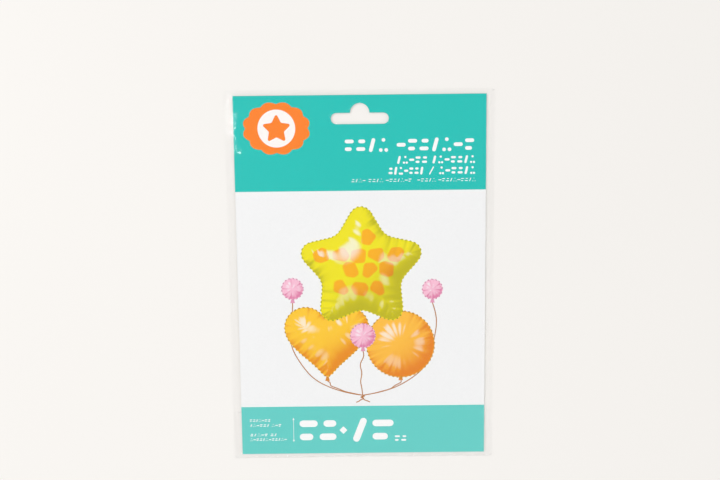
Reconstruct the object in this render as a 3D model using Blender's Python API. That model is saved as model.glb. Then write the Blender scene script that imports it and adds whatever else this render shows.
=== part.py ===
"""Hanging retail pack: a printed card in a clear film bag, punched with a hang slot.

The pack lies on its back with the printed side up. X runs across it, +Y points to the end
with the hang slot and +Z points up. The origin is under the middle of the bag, on the
surface that it lies on. All lengths are in metres.
"""

import math

import bmesh
import bpy
from mathutils import Vector

# Card: a flat board, printed with a header band and a footer band
CARD_WIDTH = 0.150
CARD_HEIGHT = 0.220
CARD_THICKNESS = 0.0004
HEADER_DEPTH = 0.0567
FOOTER_DEPTH = 0.0302

# Hang slot: a long slot with round ends and a half-round bump above its middle
SLOT_LENGTH = 0.0344
SLOT_HEIGHT = 0.0066
SLOT_DROP = 0.0138
BUMP_RADIUS = 0.00575
END_STEPS = 10
BUMP_STEPS = 16

# Film bag: one sheet folded over at the slot's end and welded along both sides
FILM_THICKNESS = 0.00005
SIDE_MARGIN = 0.005
TOP_MARGIN = 0.003
BOTTOM_MARGIN = 0.003
WELD_WIDTH = 0.001
SEAM_GAP = 0.00005
CARD_CLEARANCE = 0.0003

# Flap: the front film carries on round the bottom end and is glued to the back
FLAP_LENGTH = 0.030
FLAP_INSET = 0.002
FLAP_GAP = 0.0001
MOUTH_WIDTH = 0.0005
RAMP_LENGTH = 0.004
GLUE_WIDTH = 0.010
GLUE_INSET = 0.004

# Heights above the surface that the pack lies on
BACK_LIFT = FILM_THICKNESS + FLAP_GAP
CARD_BOTTOM = BACK_LIFT + FILM_THICKNESS + CARD_CLEARANCE
CARD_TOP = CARD_BOTTOM + CARD_THICKNESS
FRONT_INSIDE = CARD_TOP + CARD_CLEARANCE
SEAM_THICKNESS = 2 * FILM_THICKNESS + SEAM_GAP

# Places along the pack
BAG_WIDTH = CARD_WIDTH + 2 * SIDE_MARGIN
BAG_HEIGHT = BOTTOM_MARGIN + CARD_HEIGHT + TOP_MARGIN
BAG_LOW = -BAG_HEIGHT / 2
BAG_HIGH = BAG_HEIGHT / 2
CARD_LOW = BAG_LOW + BOTTOM_MARGIN
CARD_HIGH = BAG_HIGH - TOP_MARGIN
SLOT_MIDDLE = CARD_HIGH - SLOT_DROP
FLAP_HALF_WIDTH = BAG_WIDTH / 2 - FLAP_INSET
FLAP_END = BAG_LOW + FLAP_LENGTH

# How far a cutter runs past what it cuts
CUT_MARGIN = 0.002


def clear_scene():
    for obj in list(bpy.data.objects):
        bpy.data.objects.remove(obj, do_unlink=True)


def plain_material(name, color, roughness, transmission=0.0, alpha=1.0):
    material = bpy.data.materials.new(name)
    material.use_nodes = True
    shader = material.node_tree.nodes["Principled BSDF"]
    shader.inputs["Base Color"].default_value = (*color, 1.0)
    shader.inputs["Roughness"].default_value = roughness
    shader.inputs["Metallic"].default_value = 0.0
    shader.inputs["Transmission Weight"].default_value = transmission
    shader.inputs["Alpha"].default_value = alpha
    material.diffuse_color = (*color, alpha)
    return material


def mesh_object(name, mesh_builder, parent, materials=()):
    """A new object whose mesh the builder fills, with its faces pointing out."""
    mesh = bpy.data.meshes.new(name)
    work = bmesh.new()
    mesh_builder(work)
    bmesh.ops.recalc_face_normals(work, faces=work.faces)
    work.to_mesh(mesh)
    work.free()
    for material in materials:
        mesh.materials.append(material)
    obj = bpy.data.objects.new(name, mesh)
    obj.parent = parent
    bpy.context.collection.objects.link(obj)
    return obj


def add_box(work, low, high):
    corners = bmesh.ops.create_cube(work, size=1.0)["verts"]
    size = Vector(high) - Vector(low)
    middle = (Vector(high) + Vector(low)) / 2
    for corner in corners:
        corner.co = middle + Vector(a * b for a, b in zip(corner.co, size))


def add_loft(work, rings):
    """Skins a row of rings that have as many points each, and closes both ends."""
    rows = [[work.verts.new(point) for point in ring] for ring in rings]
    count = len(rows[0])
    for near, far in zip(rows, rows[1:]):
        for i in range(count):
            j = (i + 1) % count
            work.faces.new((near[i], near[j], far[j], far[i]))
    work.faces.new(rows[0])
    work.faces.new(rows[-1])


def arc(centre_x, centre_y, radius, start, end, steps):
    """Points of an arc, from one angle to another in degrees."""
    turn = [math.radians(start + (end - start) * i / steps) for i in range(steps + 1)]
    return [(centre_x + radius * math.cos(a), centre_y + radius * math.sin(a)) for a in turn]


def slot_outline():
    end_radius = SLOT_HEIGHT / 2
    end_x = SLOT_LENGTH / 2 - end_radius
    right = arc(end_x, SLOT_MIDDLE, end_radius, -90, 90, END_STEPS)
    bump = arc(0, SLOT_MIDDLE + end_radius, BUMP_RADIUS, 0, 180, BUMP_STEPS)
    left = arc(-end_x, SLOT_MIDDLE, end_radius, 90, 270, END_STEPS)
    return right + bump + left


def build_slot_cutter(work):
    heights = (-CUT_MARGIN, FRONT_INSIDE + CUT_MARGIN)
    add_loft(work, [[(x, y, z) for x, y in slot_outline()] for z in heights])


def build_card(work):
    """The board, with its printed side split where the bands end."""
    add_box(
        work,
        (-CARD_WIDTH / 2, CARD_LOW, CARD_BOTTOM),
        (CARD_WIDTH / 2, CARD_HIGH, CARD_TOP),
    )
    header_line = CARD_HIGH - HEADER_DEPTH
    footer_line = CARD_LOW + FOOTER_DEPTH
    for line in (header_line, footer_line):
        bmesh.ops.bisect_plane(
            work,
            geom=work.verts[:] + work.edges[:] + work.faces[:],
            plane_co=(0, line, 0),
            plane_no=(0, 1, 0),
        )
    work.normal_update()
    for face in work.faces:
        middle = face.calc_center_median()
        in_band = middle.y > header_line or middle.y < footer_line
        face.material_index = int(in_band and middle.z > CARD_TOP - CARD_THICKNESS / 4)


def back_height(y):
    """Underside of the back film, which climbs over the flap and lies flat beyond it."""
    past_flap = (y - FLAP_END - RAMP_LENGTH) / RAMP_LENGTH
    return BACK_LIFT * (1 - min(max(past_flap, 0), 1))


def pouch_ring(y, half_width, roof_half_width, inset, at_end):
    """A section across the bag: flat below, and level above the card between two slopes."""
    floor = back_height(y) + inset
    edge = floor + SEAM_THICKNESS - 2 * inset
    roof = edge if at_end else FRONT_INSIDE + FILM_THICKNESS - inset
    profile = (
        (-half_width, floor),
        (half_width, floor),
        (half_width, edge),
        (roof_half_width, roof),
        (-roof_half_width, roof),
        (-half_width, edge),
    )
    return [(x, y, z) for x, z in profile]


def pouch_rings(half_width, low, high, inset):
    """Sections from the bag's bottom end to its fold. Inset is how far in from its skin."""
    roof_half_width = CARD_WIDTH / 2 + CARD_CLEARANCE + FILM_THICKNESS - inset
    roof_low = CARD_LOW - CARD_CLEARANCE
    roof_high = CARD_HIGH + CARD_CLEARANCE
    ramp_low = FLAP_END + RAMP_LENGTH
    stations = (low, roof_low, ramp_low, ramp_low + RAMP_LENGTH, roof_high, high)
    return [
        pouch_ring(y, half_width, roof_half_width, inset, y in (low, high)) for y in stations
    ]


def build_bag_outside(work):
    add_loft(work, pouch_rings(BAG_WIDTH / 2, BAG_LOW, BAG_HIGH, 0.0))


def build_bag_inside(work):
    low = BAG_LOW + FILM_THICKNESS
    high = BAG_HIGH - FILM_THICKNESS
    add_loft(work, pouch_rings(BAG_WIDTH / 2 - WELD_WIDTH, low, high, FILM_THICKNESS))


def build_mouth(work):
    """The slit between the back film's lip and the fold of the flap."""
    add_box(
        work,
        (-FLAP_HALF_WIDTH, BAG_LOW + FILM_THICKNESS, -CUT_MARGIN),
        (FLAP_HALF_WIDTH, BAG_LOW + MOUTH_WIDTH, BACK_LIFT + FILM_THICKNESS + SEAM_GAP / 2),
    )


def build_flap(work):
    """The film from the bag's bottom edge down and under its back, as one L section."""
    top = BACK_LIFT + SEAM_THICKNESS / 2
    profile = (
        (BAG_LOW, 0),
        (FLAP_END, 0),
        (FLAP_END, FILM_THICKNESS),
        (BAG_LOW + FILM_THICKNESS, FILM_THICKNESS),
        (BAG_LOW + FILM_THICKNESS, top),
        (BAG_LOW, top),
    )
    ends = (-FLAP_HALF_WIDTH, FLAP_HALF_WIDTH)
    add_loft(work, [[(x, y, z) for y, z in profile] for x in ends])


def build_glue(work):
    """The glue strip that holds the flap, reaching half way into both films."""
    add_box(
        work,
        (
            -FLAP_HALF_WIDTH + GLUE_INSET,
            FLAP_END - GLUE_INSET - GLUE_WIDTH,
            FILM_THICKNESS / 2,
        ),
        (
            FLAP_HALF_WIDTH - GLUE_INSET,
            FLAP_END - GLUE_INSET,
            BACK_LIFT + FILM_THICKNESS / 2,
        ),
    )


def helper(name, mesh_builder, parent):
    """A shape that only cuts or joins, and isn't part of the pack itself."""
    obj = mesh_object(name, mesh_builder, parent)
    obj.hide_render = True
    obj.display_type = "WIRE"
    return obj


def add_boolean(target, other, operation):
    modifier = target.modifiers.new(f"{operation.lower()}_{other.name}", "BOOLEAN")
    modifier.object = other
    modifier.operation = operation
    modifier.solver = "EXACT"


def make_card(pack, slot_cutter):
    board = plain_material("printed_board", (0.86, 0.86, 0.85), 0.45)
    ink = plain_material("teal_ink", (0.045, 0.52, 0.47), 0.40)
    card = mesh_object("printed_card", build_card, pack, (board, ink))
    add_boolean(card, slot_cutter, "DIFFERENCE")


def make_bag(pack, slot_cutter):
    film = plain_material("clear_film", (0.95, 0.97, 0.98), 0.08, 1.0, 0.35)
    bag = mesh_object("clear_bag", build_bag_outside, pack, (film,))
    add_boolean(bag, helper("bag_inside", build_bag_inside, pack), "DIFFERENCE")
    add_boolean(bag, helper("mouth", build_mouth, pack), "DIFFERENCE")
    add_boolean(bag, helper("flap", build_flap, pack), "UNION")
    add_boolean(bag, helper("glue", build_glue, pack), "UNION")
    add_boolean(bag, slot_cutter, "DIFFERENCE")


def main():
    clear_scene()
    pack = bpy.data.objects.new("pack", None)
    bpy.context.collection.objects.link(pack)
    slot_cutter = helper("slot_cutter", build_slot_cutter, pack)
    make_card(pack, slot_cutter)
    make_bag(pack, slot_cutter)


main()
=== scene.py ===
"""Looks of a hanging retail pack: a printed card in a clear film bag.

The pack lies on its back. X runs across it, +Y points to the end with the hang slot and +Z
points out of the printed side. The print and the film are laid out flat, in millimetres from
the middle of the card, and become metres when their meshes are made.
"""

import math

import bpy
import numpy as np
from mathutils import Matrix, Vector
from mathutils.geometry import delaunay_2d_cdt


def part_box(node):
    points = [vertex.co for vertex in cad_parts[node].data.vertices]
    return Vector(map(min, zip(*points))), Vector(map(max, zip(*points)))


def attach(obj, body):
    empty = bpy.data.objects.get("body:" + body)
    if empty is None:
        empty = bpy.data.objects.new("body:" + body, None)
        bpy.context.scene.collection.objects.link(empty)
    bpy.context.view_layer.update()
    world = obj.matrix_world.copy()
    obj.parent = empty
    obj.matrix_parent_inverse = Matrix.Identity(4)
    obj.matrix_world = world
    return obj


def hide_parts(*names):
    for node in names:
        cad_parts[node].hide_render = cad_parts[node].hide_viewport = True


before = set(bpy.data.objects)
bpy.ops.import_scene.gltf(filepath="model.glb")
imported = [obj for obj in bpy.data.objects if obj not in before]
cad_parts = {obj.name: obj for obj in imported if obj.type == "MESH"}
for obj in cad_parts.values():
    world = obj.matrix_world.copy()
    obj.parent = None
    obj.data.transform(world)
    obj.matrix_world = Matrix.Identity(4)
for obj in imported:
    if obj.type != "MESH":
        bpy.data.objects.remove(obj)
bpy.ops.object.select_all(action="DESELECT")
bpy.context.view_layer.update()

MM = 0.001
CARD_LOW, CARD_HIGH = [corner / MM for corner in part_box("printed_card")]
BAG_LOW, BAG_HIGH = [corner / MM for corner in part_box("clear_bag")]

# Hang slot, in millimetres, as in the solids
SLOT_LENGTH = 34.4
SLOT_HEIGHT = 6.6
SLOT_DROP = 13.8
SLOT_MIDDLE = CARD_HIGH.y - SLOT_DROP
BUMP_RADIUS = 5.75

# Film of the bag, in millimetres: one sheet that runs from the lip of the back up to the
# fold at the slot's end, down the front and round the bottom into the flap
FILM = 0.05
FILM_PITCH = 2.0
LIP_DROP = 0.5
FLAP_LENGTH = 30.0
FLAP_RAMP = 4.0
FLAP_LIFT = 0.15
FILM_GAP = 0.18
CARD_CLEARANCE = 0.3
CARD_COVER = CARD_HIGH.z + CARD_CLEARANCE - FILM_GAP
TOP_FOLD = FILM_GAP / 2
BOTTOM_FOLD = (FILM_GAP + FLAP_LIFT) / 2
BACK_END = BAG_HIGH.y - BAG_LOW.y - LIP_DROP
FRONT_END = BACK_END + BAG_HIGH.y - BAG_LOW.y
FOLD_ROWS = np.linspace(-1, 1, 9)

# Welds along the sides of the bag, in millimetres
WELD_WIDTH = 1.0
WELD_GAP = 0.056
WELD_EDGE = (0.7, 1.6)
WELD_COLUMNS = (0.3, 0.7, 1.0, 1.6)
WELD_PITCH = 1.5

# Loose waves in the front film: height, length, heading in degrees and phase
FILM_WAVES = (
    (0.10, 46.0, 20.0, 0.3),
    (0.08, 31.0, 115.0, 1.9),
    (0.06, 23.0, 62.0, 4.0),
    (0.05, 17.0, 148.0, 2.6),
)

# Short crimps beside the welds, in millimetres: they set in between two distances from the
# edge, and their phase wanders by an angle over a length
CRIMP_HEIGHT = 0.09
CRIMP_PITCH = 9.0
CRIMP_REACH = 3.5
CRIMP_START = (0.6, 1.5)
CRIMP_WANDER = (1.3, 5.0)

# How far in from the sides the waves reach their full height, and waves and crimps from the
# ends, in millimetres
SIDE_FADE = 12.0
END_FADE = 2.5

# Strip of adhesive under the flap, in millimetres, and the faces along and across it
GLUE_INSET = 6.0
GLUE_MIDDLE = 21.0
GLUE_WIDTH = 10.0
GLUE_THICKNESS = 0.09
GLUE_WOBBLE = 0.35
GLUE_WOBBLE_LENGTHS = (2.1, 5.3)
GLUE_COLUMNS = 148
GLUE_ROWS = 6

# Bands and inks of the print, in millimetres
HEADER_LINE = 53.3
FOOTER_LINE = -79.8
BOARD_WHITE = "#F6F6F6"
HEADER_TEAL = "#16C4BA"
# The footer's teal is lighter than the header's teal, with a painted haze of light mirrored by the
# film over it
FOOTER_TEAL_WITH_PAINTED_HAZE = "#66D1C9"
BADGE_ORANGE = "#FF8420"
BADGE_WHITE = "#FFF9F6"
MARK_WHITE = "#FDFCFB"
RIBBON_BROWN = "#B4712C"

# Marks of the print: the strokes of each, from start to end, in a box from 0 to 1
MARKS = (
    (((0.0, 0.88), (1.0, 0.88)), ((0.0, 0.12), (0.6, 0.12))),
    (((0.25, 0.0), (0.75, 1.0)),),
    (((0.0, 0.5), (1.0, 0.5)),),
    (((0.4, 0.88), (1.0, 0.88)), ((0.0, 0.12), (1.0, 0.12))),
    (((0.5, 1.0), (0.5, 1.0)), ((0.0, 0.0), (0.0, 0.0)), ((1.0, 0.0), (1.0, 0.0))),
)

# Rows of marks: left, right, low and high in millimetres, the number of marks in each group,
# the weight of the strokes and the number of the first mark
ROW_RIGHT = 69.2
HEADER_ROWS = (
    (-9.1, ROW_RIGHT, 76.3, 84.5, (4, 7), 2.2, 0),
    (21.6, ROW_RIGHT, 69.1, 73.8, (5, 7), 1.35, 2),
    (16.8, 38.5, 62.6, 67.3, (7,), 1.35, 1),
    (47.0, ROW_RIGHT, 62.6, 67.3, (6,), 1.35, 3),
    (-5.4, 31.0, 58.3, 60.4, (4, 4, 7), 0.42, 1),
    (34.0, ROW_RIGHT, 58.3, 60.4, (5, 10), 0.42, 4),
)
FOOTER_ROWS = (
    (-70.0, -57.0, -89.4, -87.6, (7,), 0.5, 0),
    (-70.0, -50.2, -92.6, -90.8, (6, 3), 0.5, 2),
    (-70.0, -52.9, -98.7, -96.9, (5, 2), 0.5, 1),
    (-70.0, -47.0, -101.7, -99.9, (12,), 0.5, 3),
    (19.7, 27.6, -102.8, -98.6, (2,), 1.1, 0),
)

# Room between groups of marks, and width of a mark, as shares of the marks' pitch
GROUP_GAP = 0.55
MARK_SHARE = 0.80

# Large marks of the footer: left, right and number of each
LARGE_MARKS = ((-39.3, -28.0, 0), (-27.0, -16.5, 3), (-8.4, 4.6, 1), (5.8, 19.0, 0))
LARGE_MARK_LOW = -102.8
LARGE_MARK_HEIGHT = 15.4
LARGE_MARK_WEIGHT = 4.2

# Single marks: ends and weight of a slanted stroke, centre and reach of a diamond, and x,
# low end and high end of an upright double arrow
SLANTED_STROKE = ((41.4, 62.9), (43.6, 67.0), 0.7)
DIAMOND = ((-12.15, -95.2), 2.45)
DOUBLE_ARROW = (-43.0, -102.6, -86.9)

# Badge, in millimetres: a scalloped oval, a disc in its middle and a star in the disc
BADGE_PLACE = (-49.5, 90.7)
BADGE_SIZE = (40.5, 31.5)
BADGE_SCALLOPS = 12
BADGE_DISC = 11.2
BADGE_STAR = 9.4
BADGE_STAR_DROP = 0.4

# Picture: the knot of the ribbons, and for each ribbon the x and the top of the balloon's
# neck above it, the point that it bends towards and the neck's ink
KNOT = (0.0, -73.0)
NECK_LENGTH = 3.2
NECK_WIDTH = (1.2, 2.8)
RIBBONS = (
    (-42.0, -11.5, (-52.0, -66.0), "#E59AB9"),
    (-21.5, -60.5, (-19.0, -69.5), "#D98A2B"),
    (0.5, -42.0, (-2.0, -60.0), "#E59AB9"),
    (23.5, -60.5, (21.0, -70.0), "#D98A2B"),
    (43.0, -12.1, (54.0, -66.0), "#E59AB9"),
)

# Loose ends of the ribbons below the knot: the point that each bends towards, and its tip
RIBBON_ENDS = (((2.0, -75.0), (-4.0, -77.5)), ((-2.0, -75.0), (4.5, -77.3)))

# Finishes of the foil balloons: lit ink, shaded ink, ink in the seam and pitch of its puckers
YELLOW_FOIL = ("#F3E60F", "#C3B90A", "#8C8A1E", 2.6)
GOLD_FOIL = ("#FFCB30", "#EC8F12", "#A06F1C", 2.6)
ORANGE_FOIL = ("#FFC040", "#EA851A", "#A06F1C", 2.6)
PINK_FOIL = ("#FBC3D8", "#E27FA8", "#C07E9A", 2.2)
PATCH_INKS = ("#FDB410", "#DD8406")

# Patches of the star's coat: their pitch and their room to the seam, in millimetres
PATCH_PITCH = 11.5
PATCH_MARGIN = 3.6

# The same patches, as shares of their pitch: height of a row, how far a patch strays, how far
# it reaches, how much that varies and the rounding of its corners
PATCH_ROW = 0.88
PATCH_STRAY = 0.07
PATCH_REACH = 0.46
PATCH_VARIES = 0.05
PATCH_ROUNDING = 0.16

# How far a patch's corners are shifted round it, as a share of the step between two corners
PATCH_TWIST = 0.22

# Spacing of points along the foil's outlines and inside them, in millimetres, and how often
# its outlines are rubbed round
FOIL_PITCH = 0.7
SHADE_PITCH = 0.5
OUTLINE_ROUNDS = 12

# Crimped seam of a foil balloon, in millimetres: its width, how much that varies, and the
# length over which its crimps wander
SEAM_WIDTH = 0.55
SEAM_VARIES = 0.3
SEAM_WANDER_LENGTH = 7.0

# Height of a crimp, from -1 to 1, where the seam's ink starts to darken and where it is darkest
SEAM_SHADE = (0.0, 0.9)

# Lights that the printed balloons mirror: towards each, how wide its glint is and how strong
KEY_LIGHT = np.array((-0.42, 0.52, 0.74))
FOIL_GLINTS = (
    (KEY_LIGHT, 0.12, 0.60),
    ((0.74, 0.10, 0.66), 0.07, 0.30),
    ((-0.25, -0.72, 0.65), 0.10, 0.22),
)

# How squarely a balloon faces the first of those lights where its ink is deepest and lightest
SHADE_RANGE = (0.05, 0.86)

# Puckers along a seam: pitch against the finest, reach and height in millimetres
PUCKERS = ((1.0, 2.6, 0.24), (2.3, 6.0, 0.50), (5.1, 9.0, 0.55))

# How puckers wander along a seam, slowly and quickly: by what angle, over what length
SLOW_WANDER = (1.2, 9.0)
QUICK_WANDER = (0.8, 3.7)

# Bulge of a balloon, worked out on a grid in millimetres
GRID_PITCH = 0.8
SOLVER_STEPS = 400
SOLVER_LEFT = 1e-10
EDGE_ROUNDING = 1.5
BULGE_STEEPNESS = 1.25

# Points of an outline that are closer than this, in millimetres, become one
MERGE_DISTANCE = 1e-4

# Camera, floor and lights, in metres and degrees
CAMERA_PLACE = (-0.0007, 0.0952, 0.5384)
CAMERA_TURN = (-7.59, -0.09, -0.61)
LENS = 45.0
SENSOR = 36.0
NEAREST_SEEN = 0.01
FLOOR_SIZE = 6.0
FLOOR_DROP = 0.00003
FILM_LAYERS_SEEN = 32

# Softboxes that point at the pack: place and size in metres, and power in watts
SOFTBOXES = {
    "key_softbox": ((-1.5, 0.8, 2.0), (1.0, 1.0), 15.0),
    "fill_softbox": ((1.4, -0.9, 2.2), (1.4, 1.4), 9.5),
    "edge_strip": ((-0.72, 0.1, 1.0), (0.02, 0.9), 1.35),
}
SKY_STRENGTH = 0.70


# Colours


def to_linear(hex_colour):
    """An sRGB hex colour as linear red, green and blue."""
    channels = [int(hex_colour[i : i + 2], 16) / 255 for i in (1, 3, 5)]
    return np.array([c / 12.92 if c <= 0.04045 else ((c + 0.055) / 1.055) ** 2.4 for c in channels])


def blended(first, second, share):
    """Colours between two colours, one for each share."""
    return first + (second - first) * np.asarray(share)[:, None]


def eased(low, high, values):
    """0 below low and 1 above high, with a smooth rise between."""
    rise = np.clip((values - low) / (high - low), 0, 1)
    return rise * rise * (3 - 2 * rise)


def flat_ink(hex_colour):
    colour = to_linear(hex_colour)
    return lambda points: np.tile(colour, (len(points), 1))


# Flat outlines, counterclockwise


def arc(centre, radius, start, end, steps):
    """Points of an arc, from one angle to another in degrees."""
    turn = np.radians(np.linspace(start, end, steps + 1))
    return np.column_stack((np.cos(turn), np.sin(turn))) * radius + centre


def disc(centre, radius, steps=40):
    return arc(centre, radius, 0, 360, steps)[:-1]


def rectangle(left, right, low, high):
    return np.array([(left, low), (right, low), (right, high), (left, high)], float)


def pill(start, end, width, steps=6):
    """A straight stroke with round ends."""
    lean = math.degrees(math.atan2(end[1] - start[1], end[0] - start[0]))
    far = arc(end, width / 2, lean - 90, lean + 90, steps)
    near = arc(start, width / 2, lean + 90, lean + 270, steps)
    return np.vstack((far, near))


def rounded(corners, radii, steps=8):
    """A polygon whose corners are arcs, each with its own radius."""
    corners = np.asarray(corners, float)
    bends = []
    for before, corner, after, radius in zip(
        np.roll(corners, 1, 0), corners, np.roll(corners, -1, 0), radii
    ):
        back = (before - corner) / np.linalg.norm(before - corner)
        ahead = (after - corner) / np.linalg.norm(after - corner)
        half = math.acos(np.clip(back @ ahead, -1, 1)) / 2
        middle = (back + ahead) / np.linalg.norm(back + ahead)
        centre = corner + middle * radius / math.sin(half)
        first, last = (corner + side * radius / math.tan(half) - centre for side in (back, ahead))
        start, end = (math.degrees(math.atan2(p[1], p[0])) for p in (first, last))
        sweep = (end - start + 180) % 360 - 180
        bends.append(arc(centre, radius, start, start + sweep, steps))
    return np.vstack(bends)


def star(centre, radius, waist, tip_round, waist_round, steps=8):
    """A star with five rounded points, its waist a share of its radius."""
    turn = np.radians(90 + 36 * np.arange(10))
    reach = np.where(np.arange(10) % 2 == 0, radius, radius * waist)
    corners = np.column_stack((np.cos(turn), np.sin(turn))) * reach[:, None] + centre
    return rounded(corners, [tip_round, waist_round] * 5, steps)


def heart(centre, width, height, rub=60, steps=90):
    """A heart whose notch and tip are rubbed round."""
    turn = np.linspace(0, 2 * math.pi, steps + 1)[:-1]
    x = 16 * np.sin(turn) ** 3
    y = 13 * np.cos(turn) - 5 * np.cos(2 * turn) - 2 * np.cos(3 * turn) - np.cos(4 * turn)
    shape = np.column_stack((-x / 32 * width, (y + 2.5) / 29 * height))
    return softened(resampled(shape + centre, FOIL_PITCH), rub)


def scalloped(centre, width, height, scallops, depth, steps=6):
    """An oval edged with round scallops."""
    turn = np.linspace(0, 2 * math.pi, scallops * steps + 1)[:-1]
    reach = (1 - depth + depth * np.abs(np.sin(turn * scallops / 2))) / 2
    return np.column_stack((np.cos(turn) * width * reach, np.sin(turn) * height * reach)) + centre


def slot_outline(steps=10):
    """The hang slot: round ends, and a half-round bump above its middle."""
    end_radius = SLOT_HEIGHT / 2
    end_x = SLOT_LENGTH / 2 - end_radius
    right = arc((end_x, SLOT_MIDDLE), end_radius, -90, 90, steps)
    bump = arc((0, SLOT_MIDDLE + end_radius), BUMP_RADIUS, 0, 180, 2 * steps)
    left = arc((-end_x, SLOT_MIDDLE), end_radius, 90, 270, steps)
    return np.vstack((right, bump, left))


def ribbon(start, bend, end, width=0.6, sway=0.9, steps=40):
    """A thin strip along a curve that bends towards a point between its ends, and sways a little."""
    t = np.linspace(0, 1, steps + 1)[:, None]
    line = (1 - t) ** 2 * np.array(start) + 2 * t * (1 - t) * np.array(bend) + t**2 * np.array(end)
    line[:, 0] += sway * np.sin(t[:, 0] * 5 * math.pi) * (1 - t[:, 0])
    along = np.gradient(line, axis=0)
    across = np.column_stack((-along[:, 1], along[:, 0])) / np.linalg.norm(along, axis=1)[:, None]
    return np.vstack((line - across * width / 2, (line + across * width / 2)[::-1]))


def resampled(outline, pitch):
    """The same outline with its points evenly spaced."""
    closed = np.vstack((outline, outline[:1]))
    along = np.concatenate(([0], np.cumsum(np.linalg.norm(np.diff(closed, axis=0), axis=1))))
    places = np.linspace(0, along[-1], max(8, round(along[-1] / pitch)) + 1)[:-1]
    return np.column_stack([np.interp(places, along, closed[:, i]) for i in (0, 1)])


def softened(outline, rounds):
    """The outline with its sharp corners rubbed round."""
    for _ in range(rounds):
        outline = (np.roll(outline, 1, 0) + 2 * outline + np.roll(outline, -1, 0)) / 4
    return outline


def grown(outline, distances):
    """The outline moved outwards at each of its points."""
    along = np.roll(outline, -1, 0) - np.roll(outline, 1, 0)
    outwards = np.column_stack((along[:, 1], -along[:, 0])) / np.linalg.norm(along, axis=1)[:, None]
    return outline + outwards * np.reshape(distances, (-1, 1))


def covers(outline, points):
    """True for each point that lies inside the outline."""
    inside = np.zeros(len(points), bool)
    x, y = points[:, 0], points[:, 1]
    for (x0, y0), (x1, y1) in zip(outline, np.roll(outline, -1, 0)):
        if y0 != y1:
            crosses = (y0 > y) != (y1 > y)
            inside ^= crosses & (x < (x1 - x0) * (y - y0) / (y1 - y0) + x0)
    return inside


def nearest_on(outline, points):
    """How far each point is from the outline, how far along it that is, and its direction there."""
    ends = np.roll(outline, -1, 0)
    runs = ends - outline
    lengths = np.linalg.norm(runs, axis=1)
    starts = np.concatenate(([0], np.cumsum(lengths)[:-1]))
    distance = np.full(len(points), np.inf)
    along = np.zeros(len(points))
    heading = np.zeros((len(points), 2))
    for corner, run, length, start in zip(outline, runs, lengths, starts):
        share = np.clip((points - corner) @ run / length**2, 0, 1)
        apart = np.linalg.norm(points - corner - share[:, None] * run, axis=1)
        closer = apart < distance
        distance[closer] = apart[closer]
        along[closer] = start + share[closer] * length
        heading[closer] = run / length
    return distance, along, heading


def filling(outline, pitch, margin):
    """Evenly spaced points inside an outline, off its edge."""
    low, high = outline.min(0), outline.max(0)
    rows = np.arange(low[1], high[1], pitch * math.sqrt(0.75))
    columns = np.arange(low[0], high[0], pitch)
    x, y = np.meshgrid(columns, rows)
    x = x + (np.arange(len(rows)) % 2)[:, None] * pitch / 2
    points = np.column_stack((x.ravel(), y.ravel()))
    points = points[covers(outline, points)]
    return points[nearest_on(outline, points)[0] > margin]


# Foil balloons of the picture


def blown_up(outline):
    """Slopes of a film blown up inside the outline, on a grid: its bulge solves Poisson's
    equation, by conjugate gradients."""
    low = outline.min(0) - 2 * GRID_PITCH
    count = np.ceil((outline.max(0) + 2 * GRID_PITCH - low) / GRID_PITCH).astype(int)
    x, y = np.meshgrid(*(low[i] + np.arange(count[i]) * GRID_PITCH for i in (0, 1)))
    inside = covers(outline, np.column_stack((x.ravel(), y.ravel()))).reshape(x.shape)

    def spread(field):
        field = np.where(inside, field, 0)
        around = sum(np.roll(field, shift, axis) for axis in (0, 1) for shift in (1, -1))
        return np.where(inside, 4 * field - around, 0)

    bulge = np.zeros(x.shape)
    residue = np.where(inside, GRID_PITCH**2, 0.0)
    step = residue.copy()
    energy = (residue**2).sum()
    for _ in range(SOLVER_STEPS):
        pull = spread(step)
        share = energy / (step * pull).sum()
        bulge += share * step
        residue -= share * pull
        left = (residue**2).sum()
        if left < SOLVER_LEFT * GRID_PITCH**4:
            break
        step = residue + step * left / energy
        energy = left
    height = np.sqrt(np.maximum(bulge, 0) + EDGE_ROUNDING)
    rise_y, rise_x = np.gradient(height, GRID_PITCH)
    return low, np.stack((rise_x, rise_y), 2)


def read_grid(low, grid, points):
    """Values of a grid between its points."""
    place = (points - low) / GRID_PITCH
    cell = np.clip(np.floor(place).astype(int), 0, np.array(grid.shape[1::-1]) - 2)
    share = (place - cell)[:, :, None]
    column, row = cell[:, 0], cell[:, 1]
    below = grid[row, column] * (1 - share[:, 0]) + grid[row, column + 1] * share[:, 0]
    above = grid[row + 1, column] * (1 - share[:, 0]) + grid[row + 1, column + 1] * share[:, 0]
    return below * (1 - share[:, 1]) + above * share[:, 1]


def foil_slopes(outline, pucker_pitch):
    """A function that gives the slopes of a foil balloon, with the puckers along its seam."""
    low, bulge = blown_up(outline)
    slow, slow_length = SLOW_WANDER
    quick, quick_length = QUICK_WANDER

    def slopes(points):
        distance, along, heading = nearest_on(outline, points)
        inwards = np.column_stack((-heading[:, 1], heading[:, 0]))
        result = read_grid(low, bulge, points) * BULGE_STEEPNESS
        for pitch, reach, height in PUCKERS:
            wave = 2 * math.pi / (pucker_pitch * pitch)
            wander = slow * np.sin(along / slow_length + pitch) + quick * np.sin(along / quick_length)
            fade = height * np.exp(-distance / reach)
            result += (fade * wave * np.cos(wave * along + wander))[:, None] * heading
            result -= (fade / reach * np.sin(wave * along + wander))[:, None] * inwards
        return result

    return slopes


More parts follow.
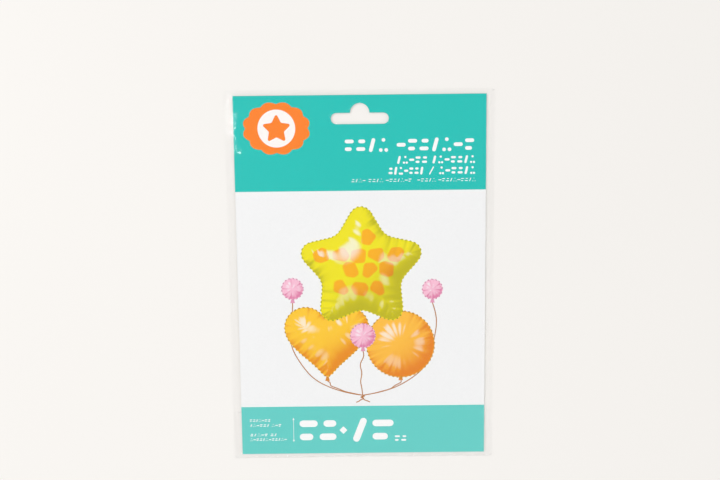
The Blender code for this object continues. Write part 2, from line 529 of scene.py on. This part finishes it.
def foil_ink(slopes, base, deep):
    """Ink of a glossy balloon: what its slopes show of the lights round it."""
    base, deep, glow = (to_linear(colour) for colour in (base, deep, "#FFFFFF"))

    def ink(points):
        slope = slopes(points)
        normal = np.column_stack((-slope, np.ones(len(slope))))
        normal /= np.linalg.norm(normal, axis=1)[:, None]
        mirrored = 2 * normal[:, 2:] * normal - np.array((0, 0, 1))
        colours = blended(deep, base, eased(*SHADE_RANGE, normal @ KEY_LIGHT))
        for light, size, share in FOIL_GLINTS:
            towards = np.array(light) / np.linalg.norm(light)
            colours = blended(colours, glow, share * eased(1 - size, 1, mirrored @ towards))
        return colours

    return ink


def seam_ink(outline, base, dark, pitch):
    """Ink of the crimped seam round a balloon, dark in each crimp."""
    base, dark = to_linear(base), to_linear(dark)

    def ink(points):
        along = nearest_on(outline, points)[1]
        crimps = np.sin(2 * math.pi * along / pitch + np.sin(along / SEAM_WANDER_LENGTH))
        return blended(base, dark, eased(*SEAM_SHADE, crimps))

    return ink


# Print: each layer is an outline and its ink, and later layers cover earlier ones


def balloon(outline, finish, patches=()):
    """A foil balloon: its crimped seam, its body and the patches printed on it."""
    base, deep, seam, pucker_pitch = finish
    outline = softened(resampled(outline, FOIL_PITCH), OUTLINE_ROUNDS)
    slopes = foil_slopes(outline, pucker_pitch)
    along = nearest_on(outline, outline)[1]
    crimped = grown(outline, SEAM_WIDTH + SEAM_VARIES * np.sin(2 * math.pi * along / pucker_pitch))
    layers = [
        (crimped, seam_ink(outline, base, seam, pucker_pitch)),
        (outline, foil_ink(slopes, base, deep)),
    ]
    layers += [(resampled(patch, FOIL_PITCH), foil_ink(slopes, *PATCH_INKS)) for patch in patches]
    return layers, filling(outline, SHADE_PITCH, SHADE_PITCH / 2)


def coat_patches(outline):
    """Rounded patches, like an animal's coat, where they fit well inside the outline. Each
    differs from its neighbours by sines of its number."""
    patches = []
    low, high = outline.min(0), outline.max(0)
    columns, rows = ((high - low) / PATCH_PITCH).astype(int) + 2
    for row in range(rows):
        for column in range(columns):
            number = 7 * row + 3 * column
            stray = np.array((math.sin(number * 1.7), math.cos(number * 2.3))) * PATCH_STRAY
            place = np.array((column + 0.5 * (row % 2), row * PATCH_ROW)) + stray
            sides = np.arange(5 + number % 2)
            twist = PATCH_TWIST * np.sin(number + 2.4 * sides)
            turn = number + (sides + twist) * 2 * math.pi / len(sides)
            reach = PATCH_REACH + PATCH_VARIES * np.sin(number * 1.9 + 1.7 * sides)
            corners = place + np.column_stack((np.cos(turn), np.sin(turn))) * reach[:, None]
            rounding = PATCH_ROUNDING * PATCH_PITCH
            patch = rounded(low + corners * PATCH_PITCH, [rounding] * len(sides), 4)
            if covers(outline, patch).all() and nearest_on(outline, patch)[0].min() > PATCH_MARGIN:
                patches.append(patch)
    return patches


def neck(x, top):
    """The tied neck below a balloon, which widens downwards."""
    low = top - NECK_LENGTH
    narrow, wide = (width / 2 for width in NECK_WIDTH)
    return np.array([(x - wide, low), (x + wide, low), (x + narrow, top), (x - narrow, top)])


def picture():
    """The picture: foil balloons in yellow, orange and pink, on ribbons that meet in a knot."""
    strips = [ribbon((x, top - NECK_LENGTH), bend, KNOT) for x, top, bend, _ in RIBBONS]
    strips += [ribbon(KNOT, bend, tip) for bend, tip in RIBBON_ENDS]
    layers = [(strip, flat_ink(RIBBON_BROWN)) for strip in strips]
    layers += [(neck(x, top), flat_ink(ink)) for x, top, _, ink in RIBBONS]

    star_shape = star((0.0, 6.0), 44.0, waist=0.55, tip_round=6.5, waist_round=10.0)
    patches = coat_patches(star_shape)
    balloons = (
        balloon(heart((-21.5, -40.5), width=52.0, height=47.0), GOLD_FOIL),
        balloon(disc((23.5, -41.0), 20.5), ORANGE_FOIL),
        balloon(star_shape, YELLOW_FOIL, patches),
        balloon(disc((0.5, -35.5), 7.4), PINK_FOIL),
        balloon(disc((-42.0, -6.0), 6.4), PINK_FOIL),
        balloon(disc((43.0, -7.0), 6.0), PINK_FOIL),
    )
    for parts, _ in balloons:
        layers += parts
    return layers, [points for _, points in balloons]


def mark(left, low, width, height, strokes, weight):
    """The strokes of one mark, fitted into a box."""
    corner = np.array((left, low)) + weight / 2
    room = np.array((width, height)) - weight
    return [pill(corner + room * start, corner + room * end, weight) for start, end in strokes]


def stroke_row(left, right, low, high, groups, weight, first):
    """A row of marks in groups, each group as long as its number of marks."""
    pitch = (right - left) / (sum(groups) + GROUP_GAP * (len(groups) - 1))
    outlines = []
    number = first
    x = left
    for group in groups:
        for _ in range(group):
            strokes = MARKS[number * 3 % len(MARKS)]
            outlines += mark(x, low, pitch * MARK_SHARE, high - low, strokes, weight)
            number += 1
            x += pitch
        x += pitch * GROUP_GAP
    return outlines


def double_arrow(x, low, high, line_width=0.24, head_width=1.2, head_height=1.5, overlap=0.5):
    """A thin upright line that reaches a little way into an arrowhead at each end."""
    line, head = line_width / 2, head_width / 2
    low_head, high_head = low + head_height, high - head_height
    return [
        rectangle(x - line, x + line, low_head - overlap, high_head + overlap),
        np.array([(x, low), (x + head, low_head), (x - head, low_head)]),
        np.array([(x - head, high_head), (x + head, high_head), (x, high)]),
    ]


def printed_marks():
    """All white marks of the header and the footer."""
    outlines = [outline for row in HEADER_ROWS + FOOTER_ROWS for outline in stroke_row(*row)]
    for left, right, number in LARGE_MARKS:
        size = (right - left, LARGE_MARK_HEIGHT)
        outlines += mark(left, LARGE_MARK_LOW, *size, MARKS[number], LARGE_MARK_WEIGHT)
    outlines.append(pill(*SLANTED_STROKE))
    outlines.append(disc(*DIAMOND, 4))
    return outlines + double_arrow(*DOUBLE_ARROW)


def badge():
    """A scalloped oval with a star in a white disc."""
    star_place = (BADGE_PLACE[0], BADGE_PLACE[1] - BADGE_STAR_DROP)
    return [
        (scalloped(BADGE_PLACE, *BADGE_SIZE, BADGE_SCALLOPS, depth=0.09), flat_ink(BADGE_ORANGE)),
        (disc(BADGE_PLACE, BADGE_DISC), flat_ink(BADGE_WHITE)),
        (star(star_place, BADGE_STAR, 0.5, 0.9, 1.2, steps=4), flat_ink(BADGE_ORANGE)),
    ]


def print_layers():
    """All layers of the print, from the white board up, and loose points for its shaded parts."""
    sides = (CARD_LOW.x, CARD_HIGH.x)
    layers = [
        (rectangle(*sides, CARD_LOW.y, CARD_HIGH.y), flat_ink(BOARD_WHITE)),
        (rectangle(*sides, HEADER_LINE, CARD_HIGH.y), flat_ink(HEADER_TEAL)),
        # Footer band: its teal with the painted haze of the film's reflection
        (rectangle(*sides, CARD_LOW.y, FOOTER_LINE), flat_ink(FOOTER_TEAL_WITH_PAINTED_HAZE)),
    ]
    layers += badge()
    layers += [(outline, flat_ink(MARK_WHITE)) for outline in printed_marks()]
    shapes, loose = picture()
    return layers + shapes, loose


# Meshes


def triangulated(outlines, loose):
    """Triangles over closed outlines and loose points, each with the number of the last
    outline that covers it."""
    points = np.vstack([*outlines, *loose])
    starts = np.cumsum([0] + [len(outline) for outline in outlines])
    loops = [list(range(a, b)) for a, b in zip(starts, starts[1:])]
    made = delaunay_2d_cdt([Vector(p) for p in points], [], loops, 0, MERGE_DISTANCE)
    corners = np.array([tuple(v) for v in made[0]])
    top = np.array([max(found, default=-1) for found in made[5]])
    return corners, np.array(made[2]), top


def flat_piece(name, corners, triangles, height):
    """A flat mesh object, with its corners in millimetres."""
    used, numbers = np.unique(triangles, return_inverse=True)
    places = np.column_stack((corners[used], np.full(len(used), height))) * MM
    mesh = bpy.data.meshes.new(name)
    mesh.from_pydata(places.tolist(), [], numbers.reshape(-1, 3).tolist())
    piece = bpy.data.objects.new(name, mesh)
    bpy.context.collection.objects.link(piece)
    return piece


def select_only(piece):
    bpy.ops.object.select_all(action="DESELECT")
    piece.select_set(True)
    bpy.context.view_layer.objects.active = piece


def apply_solidify(piece, thickness, offset):
    """Gives a flat sheet its thickness."""
    select_only(piece)
    solidify = piece.modifiers.new("thickness", "SOLIDIFY")
    solidify.thickness = thickness * MM
    solidify.offset = offset
    solidify.use_even_offset = False
    bpy.ops.object.modifier_apply(modifier=solidify.name)


def make_card():
    """The card, with its print as colours at the corners of its faces."""
    layers, loose = print_layers()
    outlines = [outline for outline, _ in layers] + [slot_outline()]
    corners, triangles, top = triangulated(outlines, loose)
    kept = top != len(layers)
    triangles, top = triangles[kept], top[kept]
    inks = np.ones((len(triangles), 3, 4))
    for number, (_, ink) in enumerate(layers):
        mine = top == number
        if mine.any():
            used, places = np.unique(triangles[mine], return_inverse=True)
            inks[mine, :, :3] = ink(corners[used])[places].reshape(-1, 3, 3)
    card = flat_piece("card_with_print", corners, triangles, CARD_HIGH.z)
    attribute = card.data.color_attributes.new("print", "FLOAT_COLOR", "CORNER")
    attribute.data.foreach_set("color", inks.ravel().astype(np.float32))
    apply_solidify(card, CARD_HIGH.z - CARD_LOW.z, -1)
    card.data.materials.append(coated_board_with_offset_print())
    card.data.materials.append(uncoated_board())
    card.data.update()
    for face in card.data.polygons:
        face.material_index = int(face.normal.z < 0.5)
    return card


def film_ripples(x, y):
    """Height of the front film's loose waves, and of the short crimps beside its welds."""
    waves = np.zeros(len(x))
    for size, length, heading, phase in FILM_WAVES:
        along = x * math.cos(math.radians(heading)) + y * math.sin(math.radians(heading))
        waves += size * (1 + np.sin(2 * math.pi * along / length + phase))
    side = BAG_HIGH.x - np.abs(x)
    angle, length = CRIMP_WANDER
    wander = angle * np.sin(y / length) + np.sign(x)
    crimps = 1 + np.sin(2 * math.pi * y / CRIMP_PITCH + wander)
    crimps *= CRIMP_HEIGHT * np.exp(-side / CRIMP_REACH) * eased(*CRIMP_START, side)
    return waves * eased(0, SIDE_FADE, side) + crimps


def back_height(y):
    """Height of the back sheet, which climbs over the flap."""
    past_flap = (y - BAG_LOW.y - FLAP_LENGTH - FLAP_RAMP) / FLAP_RAMP
    return FILM / 2 + FLAP_LIFT * (1 - np.clip(past_flap, 0, 1))


def front_height(x, y):
    """Height of the front sheet, which leaves the back sheet at the welds and ends, and lies
    over the card."""
    side = BAG_HIGH.x - np.abs(x)
    end = np.minimum(BAG_HIGH.y - y, y - BAG_LOW.y)
    gap = WELD_GAP + (FILM_GAP - WELD_GAP) * eased(*WELD_EDGE, side / WELD_WIDTH)
    side_margin = BAG_HIGH.x - CARD_HIGH.x - WELD_WIDTH
    tent = np.clip((side - WELD_WIDTH) / side_margin, 0, 1)
    tent *= np.clip(end / (BAG_HIGH.y - CARD_HIGH.y), 0, 1)
    return back_height(y) + gap + CARD_COVER * tent + film_ripples(x, y) * eased(0, END_FADE, end)


def turned(v, place, radius):
    """How far round a fold the film has turned, from 0 before it to half a turn after it."""
    return (1 + np.clip((v - place) / radius, -1, 1)) * math.pi / 2


def fold(places):
    """Moves the flat film, given as x, length along it and height, to where it lies folded round
    the card: back sheet, front sheet and flap. The film's upper side turns inwards."""
    x, v, w = places.T
    top_turn = turned(v, BACK_END, TOP_FOLD)
    low_turn = turned(v, FRONT_END, BOTTOM_FOLD)
    back_sheet = BAG_LOW.y + LIP_DROP + v
    top_fold = BAG_HIGH.y - TOP_FOLD + (TOP_FOLD - FILM / 2) * np.sin(top_turn)
    front_sheet = BAG_HIGH.y + BACK_END - v
    low_fold = BAG_LOW.y + BOTTOM_FOLD - (BOTTOM_FOLD - FILM / 2) * np.sin(low_turn)
    flap = BAG_LOW.y + v - FRONT_END
    ends = (BACK_END - TOP_FOLD, BACK_END + TOP_FOLD, FRONT_END - BOTTOM_FOLD, FRONT_END + BOTTOM_FOLD)
    y = np.select([v < end for end in ends], [back_sheet, top_fold, front_sheet, low_fold], flap)

    on_flap = v > FRONT_END - BOTTOM_FOLD
    lowest = np.where(on_flap, FILM / 2, back_height(y))
    share = np.where(on_flap, 1 + np.cos(low_turn), 1 - np.cos(top_turn)) / 2
    z = lowest + share * (front_height(x, y) - lowest)
    in_y = np.where(on_flap, np.sin(low_turn), -np.sin(top_turn))
    in_z = np.where(on_flap, -np.cos(low_turn), np.cos(top_turn))
    return np.column_stack((x, y + in_y * w, z + in_z * w))


def flat_film():
    """Triangles of the flat film with its two slots, close together at the folds and welds."""
    sheet = rectangle(BAG_LOW.x, BAG_HIGH.x, 0, FRONT_END + FLAP_LENGTH)
    slot = slot_outline()
    back_slot = slot - (0, BAG_LOW.y + LIP_DROP)
    front_slot = (slot * (1, -1) + (0, BACK_END + BAG_HIGH.y))[::-1]
    points = filling(sheet, FILM_PITCH, FILM_PITCH / 2)
    for hole in (back_slot, front_slot):
        points = points[~covers(hole, points) & (nearest_on(hole, points)[0] > FILM_PITCH / 5)]
    across = np.arange(BAG_LOW.x, BAG_HIGH.x + 1, FILM_PITCH)
    rows = []
    for place, radius in ((BACK_END, TOP_FOLD), (FRONT_END, BOTTOM_FOLD)):
        for row in FOLD_ROWS:
            rows += [(x, place + radius * row) for x in across]
    columns = []
    for inset in WELD_COLUMNS:
        for v in np.arange(1, FRONT_END + FLAP_LENGTH, WELD_PITCH):
            columns += [(BAG_LOW.x + inset, v), (BAG_HIGH.x - inset, v)]
    outlines = [resampled(sheet, FILM_PITCH), back_slot, front_slot]
    corners, triangles, top = triangulated(outlines, [points, rows, columns])
    return corners, triangles[top == 0]


def make_bag():
    """The bag: one sheet punched flat, given its thickness and then folded."""
    bag = flat_piece("film_bag", *flat_film(), 0)
    apply_solidify(bag, FILM, 0)
    places = np.array([tuple(vertex.co) for vertex in bag.data.vertices]) / MM
    bag.data.vertices.foreach_set("co", (fold(places) * MM).ravel())
    bag.data.shade_smooth()
    bag.data.update()
    bag.data.materials.append(clear_polypropylene_film())
    return bag


def make_adhesive():
    """The strip of adhesive between the flap and the back sheet, with slightly uneven edges."""
    width = BAG_HIGH.x - BAG_LOW.x - 2 * GLUE_INSET
    height = (FILM + FLAP_LIFT) / 2
    place = Vector((0, BAG_LOW.y + GLUE_MIDDLE, height)) * MM
    bpy.ops.mesh.primitive_grid_add(
        x_subdivisions=GLUE_COLUMNS, y_subdivisions=GLUE_ROWS, size=1, location=place
    )
    strip = bpy.context.object
    strip.name = "flap_adhesive"
    strip.data.name = "flap_adhesive"
    strip.scale = (width * MM, GLUE_WIDTH * MM, 1)
    bpy.ops.object.transform_apply(location=True, rotation=True, scale=True)
    short, long = GLUE_WOBBLE_LENGTHS
    for vertex in strip.data.vertices:
        x = vertex.co.x / MM
        share = (vertex.co.y - place.y) / (GLUE_WIDTH * MM)
        wobble = math.sin(x / short) + math.sin(x / long + 9 * share)
        vertex.co.y += share * GLUE_WOBBLE * MM * wobble
    apply_solidify(strip, GLUE_THICKNESS, 0)
    strip.data.shade_smooth()
    strip.data.materials.append(tacky_adhesive())
    return strip


# Materials


def new_material(name):
    material = bpy.data.materials.new(name)
    material.use_nodes = True
    return material, material.node_tree.nodes["Principled BSDF"]


def add_node(material, kind, values=None, links=None, **settings):
    """Adds a node with its settings, the values of its inputs and the links to them."""
    node = material.node_tree.nodes.new(kind)
    for name, value in settings.items():
        setattr(node, name, value)
    for name, value in (values or {}).items():
        node.inputs[name].default_value = value
    for name, source in (links or {}).items():
        material.node_tree.links.new(source, node.inputs[name])
    return node


def coated_board_with_offset_print():
    """Clay-coated board under offset ink: smooth and softly glossy, with a trace of mottle.
    Mottle is 1.2 mm across. Fibres under the coating are finer than 0.1 mm, and are drawn at
    0.4 mm so that they show."""
    material, shader = new_material("coated_board_with_offset_print")
    place = add_node(material, "ShaderNodeTexCoord").outputs["Object"]
    ink = add_node(material, "ShaderNodeVertexColor", layer_name="print").outputs["Color"]
    mottle = add_node(
        material,
        "ShaderNodeTexNoise",
        {"Scale": 1 / 0.0012, "Detail": 3.0},
        {"Vector": place},
    )
    shade = add_node(
        material,
        "ShaderNodeMapRange",
        {"From Min": 0.3, "From Max": 0.7, "To Min": 0.975, "To Max": 1.0},
        {"Value": mottle.outputs["Fac"]},
    )
    tinted = add_node(
        material,
        "ShaderNodeVectorMath",
        None,
        {"Vector": ink, "Scale": shade.outputs["Result"]},
        operation="SCALE",
    )
    fibres = add_node(
        material,
        "ShaderNodeTexNoise",
        {"Scale": 1 / 0.0004, "Detail": 4.0},
        {"Vector": place},
    )
    shine = add_node(
        material,
        "ShaderNodeMapRange",
        {"From Min": 0.3, "From Max": 0.7, "To Min": 0.36, "To Max": 0.48},
        {"Value": fibres.outputs["Fac"]},
    )
    relief = add_node(
        material,
        "ShaderNodeBump",
        {"Strength": 0.2, "Distance": 0.00001},
        {"Height": fibres.outputs["Fac"]},
    )
    links = material.node_tree.links
    shader.inputs["Specular IOR Level"].default_value = 0.3
    links.new(tinted.outputs["Vector"], shader.inputs["Base Color"])
    links.new(shine.outputs["Result"], shader.inputs["Roughness"])
    links.new(relief.outputs["Normal"], shader.inputs["Normal"])
    return material


def uncoated_board():
    """The bare back and cut edges of the board: matt and fibrous, a little warmer. Its fibres
    are drawn at 0.6 mm, coarser than real ones, so that they show."""
    material, shader = new_material("uncoated_board")
    place = add_node(material, "ShaderNodeTexCoord").outputs["Object"]
    fibres = add_node(
        material,
        "ShaderNodeTexNoise",
        {"Scale": 1 / 0.0006, "Detail": 6.0},
        {"Vector": place},
    )
    ramp = add_node(material, "ShaderNodeValToRGB", None, {"Fac": fibres.outputs["Fac"]})
    ramp.color_ramp.elements[0].position = 0.35
    ramp.color_ramp.elements[0].color = (*to_linear("#E3E0D8"), 1)
    ramp.color_ramp.elements[1].position = 0.65
    ramp.color_ramp.elements[1].color = (*to_linear("#F0EEE9"), 1)
    relief = add_node(
        material,
        "ShaderNodeBump",
        {"Strength": 0.4, "Distance": 0.00003},
        {"Height": fibres.outputs["Fac"]},
    )
    links = material.node_tree.links
    links.new(ramp.outputs["Color"], shader.inputs["Base Color"])
    links.new(relief.outputs["Normal"], shader.inputs["Normal"])
    shader.inputs["Roughness"].default_value = 0.8
    return material


def clear_polypropylene_film():
    """Clear polypropylene film: nearly invisible flat on, with bright glints where it bends and
    smears about 9 mm across. Its coat mirrors more than plain film, which makes up for what a
    low alpha takes from the glints."""
    material, shader = new_material("clear_polypropylene_film")
    place = add_node(material, "ShaderNodeTexCoord").outputs["Object"]
    smears = add_node(
        material,
        "ShaderNodeTexNoise",
        {"Scale": 1 / 0.009, "Detail": 3.0},
        {"Vector": place},
    )
    shine = add_node(
        material,
        "ShaderNodeMapRange",
        {"From Min": 0.35, "From Max": 0.7, "To Min": 0.04, "To Max": 0.12},
        {"Value": smears.outputs["Fac"]},
    )
    relief = add_node(
        material,
        "ShaderNodeBump",
        {"Strength": 0.3, "Distance": 0.00004},
        {"Height": smears.outputs["Fac"]},
    )
    links = material.node_tree.links
    links.new(shine.outputs["Result"], shader.inputs["Roughness"])
    links.new(relief.outputs["Normal"], shader.inputs["Normal"])
    shader.inputs["Base Color"].default_value = (*to_linear("#FFFFFF"), 1)
    shader.inputs["IOR"].default_value = 1.49
    shader.inputs["Specular IOR Level"].default_value = 1.0
    shader.inputs["Coat Weight"].default_value = 1.0
    shader.inputs["Coat Roughness"].default_value = 0.03
    shader.inputs["Coat IOR"].default_value = 1.8
    shader.inputs["Transmission Weight"].default_value = 1.0
    shader.inputs["Alpha"].default_value = 0.055
    return material


def tacky_adhesive():
    """Hot-melt adhesive: milky and soft, with faint streaks 17 mm long and 1.1 mm apart that
    run along the strip."""
    material, shader = new_material("tacky_adhesive")
    place = add_node(material, "ShaderNodeTexCoord").outputs["Object"]
    stretched = add_node(
        material,
        "ShaderNodeMapping",
        {"Scale": (1 / 0.017, 1 / 0.0011, 1.0)},
        {"Vector": place},
    )
    streaks = add_node(
        material,
        "ShaderNodeTexNoise",
        {"Scale": 1.0, "Detail": 3.0},
        {"Vector": stretched.outputs["Vector"]},
    )
    shine = add_node(
        material,
        "ShaderNodeMapRange",
        {"To Min": 0.25, "To Max": 0.5},
        {"Value": streaks.outputs["Fac"]},
    )
    relief = add_node(
        material,
        "ShaderNodeBump",
        {"Strength": 0.3, "Distance": 0.00003},
        {"Height": streaks.outputs["Fac"]},
    )
    links = material.node_tree.links
    links.new(shine.outputs["Result"], shader.inputs["Roughness"])
    links.new(relief.outputs["Normal"], shader.inputs["Normal"])
    shader.inputs["Base Color"].default_value = (*to_linear("#E9E7E0"), 1)
    shader.inputs["Alpha"].default_value = 0.35
    return material


def matt_paper_sweep():
    """The pale floor: smooth matt paper, clouded very faintly over half a metre."""
    material, shader = new_material("matt_paper_sweep")
    place = add_node(material, "ShaderNodeTexCoord").outputs["Object"]
    cloud = add_node(
        material,
        "ShaderNodeTexNoise",
        {"Scale": 1 / 0.5, "Detail": 2.0},
        {"Vector": place},
    )
    ramp = add_node(material, "ShaderNodeValToRGB", None, {"Fac": cloud.outputs["Fac"]})
    ramp.color_ramp.elements[0].position = 0.3
    ramp.color_ramp.elements[0].color = (*to_linear("#F4F1ED"), 1)
    ramp.color_ramp.elements[1].position = 0.7
    ramp.color_ramp.elements[1].color = (*to_linear("#F6F3EF"), 1)
    material.node_tree.links.new(ramp.outputs["Color"], shader.inputs["Base Color"])
    shader.inputs["Roughness"].default_value = 0.9
    shader.inputs["Specular IOR Level"].default_value = 0.1
    return material


# Stage


def make_floor():
    """The floor, a hair below the pack."""
    bpy.ops.mesh.primitive_plane_add(size=FLOOR_SIZE, location=(0, 0, -FLOOR_DROP))
    floor = bpy.context.object
    floor.name = "floor"
    floor.data.materials.append(matt_paper_sweep())


def add_softbox(name, place, size, power):
    """A rectangular light that points at the middle of the pack."""
    bpy.ops.object.light_add(type="AREA", location=place)
    light = bpy.context.object
    light.name = name
    light.rotation_euler = (-Vector(place)).to_track_quat("-Z", "Y").to_euler()
    light.data.shape = "RECTANGLE"
    light.data.size, light.data.size_y = size
    light.data.energy = power


def make_lights():
    """Softboxes for the glints, in a white studio."""
    for name, (place, size, power) in SOFTBOXES.items():
        add_softbox(name, place, size, power)
    world = bpy.context.scene.world or bpy.data.worlds.new("studio")
    bpy.context.scene.world = world
    world.use_nodes = True
    background = world.node_tree.nodes["Background"]
    background.inputs["Color"].default_value = (*to_linear("#FFFFFF"), 1)
    background.inputs["Strength"].default_value = SKY_STRENGTH


def make_camera():
    bpy.ops.object.camera_add(location=CAMERA_PLACE, rotation=[math.radians(a) for a in CAMERA_TURN])
    camera = bpy.context.object
    camera.data.lens = LENS
    camera.data.sensor_width = SENSOR
    camera.data.clip_start = NEAREST_SEEN
    bpy.context.scene.camera = camera


def main():
    make_camera()
    make_floor()
    make_lights()
    bpy.context.scene.view_settings.view_transform = "Standard"
    bpy.context.scene.cycles.transparent_max_bounces = FILM_LAYERS_SEEN
    card = make_card()
    bag = make_bag()
    adhesive = make_adhesive()
    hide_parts("printed_card")
    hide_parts("clear_bag")
    for piece, slot in ((card, "printed_board"), (bag, "clear_film"), (adhesive, "clear_film")):
        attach(piece, "root")


main()
